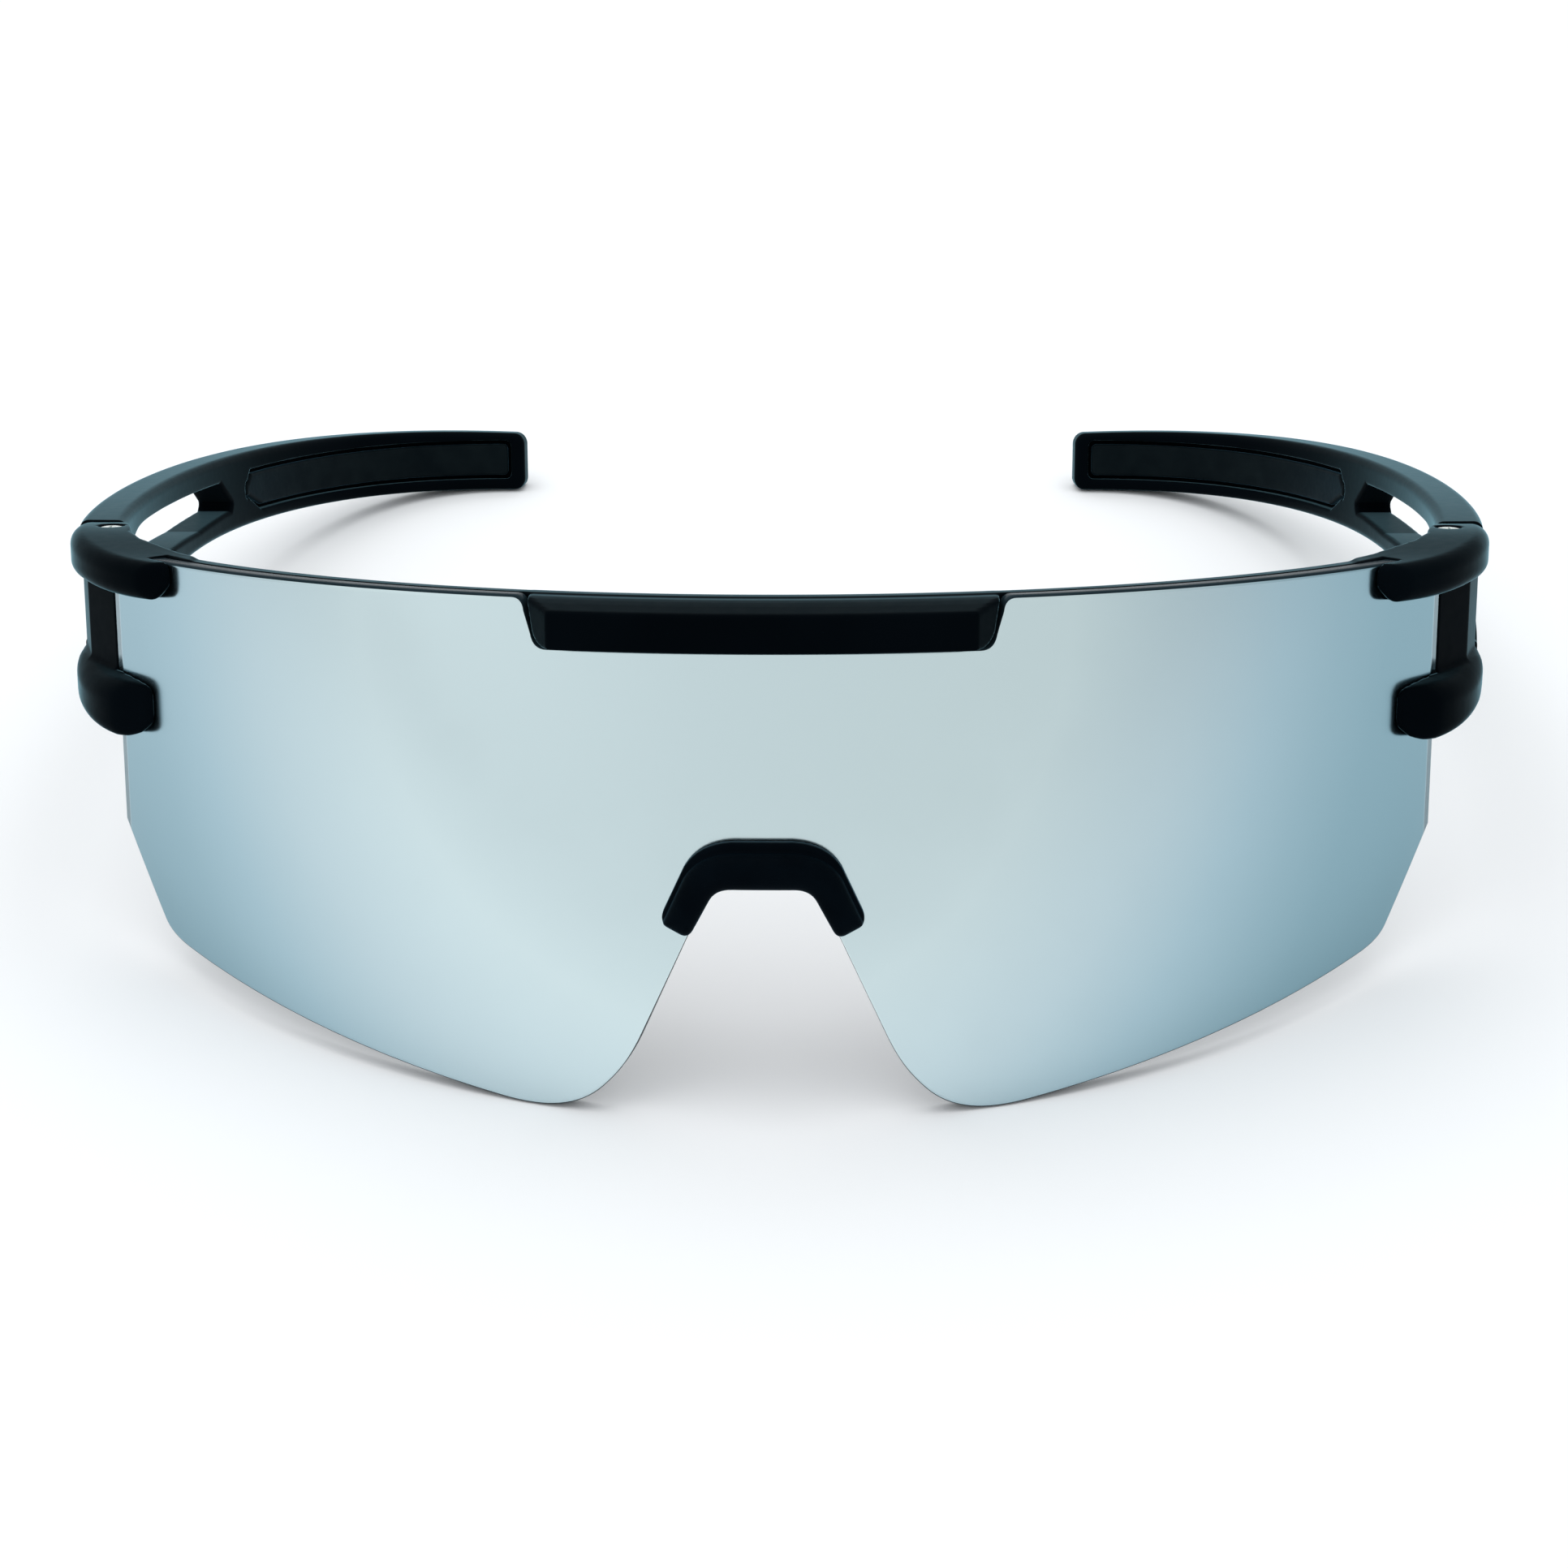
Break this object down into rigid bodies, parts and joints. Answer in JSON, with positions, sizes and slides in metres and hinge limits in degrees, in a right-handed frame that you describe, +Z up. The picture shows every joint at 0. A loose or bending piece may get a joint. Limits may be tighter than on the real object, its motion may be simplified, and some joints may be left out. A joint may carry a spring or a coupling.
{
  "type": "wraparound sport sunglasses",
  "caption": "Wraparound sport sunglasses with a mirrored shield lens, half-rim front, rubber nose piece and folding temples with split front prongs.",
  "frame": {"origin": "table plane under the middle of the whole, glasses standing open on the lens's two lobes and the two temple tips", "axes": "+X towards the wearer's left, +Y from the lens back to the temple tips, +Z up from the table"},
  "size_m": [0.154, 0.1652, 0.0476],
  "materials": {
    "frame_plastic": "fine matt, blue-black",
    "lens_mirror": "silver mirror coating on tinted polycarbonate",
    "nose_rubber": "smooth, matt",
    "grip_rubber": "smooth, matt",
    "steel": "bright",
    "brass": "plain"
  },
  "bodies": {
    "front": {"front_frame": "frame_plastic", "shield_lens": "lens_mirror", "nose_bridge": "nose_rubber", "nose_pad_left": "nose_rubber", "nose_pad_right": "nose_rubber", "hinge_screw_upper_left": "steel", "hinge_screw_upper_right": "steel", "hinge_insert_upper_left": "brass", "hinge_insert_upper_right": "brass", "hinge_screw_lower_left": "steel", "hinge_screw_lower_right": "steel", "hinge_insert_lower_left": "brass", "hinge_insert_lower_right": "brass"},
    "temple_left": {"temple_arm_left": "frame_plastic", "temple_grip_left": "grip_rubber"},
    "temple_right": {"temple_arm_right": "frame_plastic", "temple_grip_right": "grip_rubber"}
  },
  "joints": [
    {"name": "temple_left_fold", "type": "hinge", "parent": "front", "child": "temple_left", "pos_m": [0.0693, -0.03308, 0.02918], "axis": [0, 0.2524, 0.9676], "range_deg": [0, 84]},
    {"name": "temple_right_fold", "type": "hinge", "parent": "front", "child": "temple_right", "pos_m": [-0.0693, -0.03308, 0.02918], "axis": [0, -0.2524, -0.9676], "range_deg": [0, 66]}
  ]
}
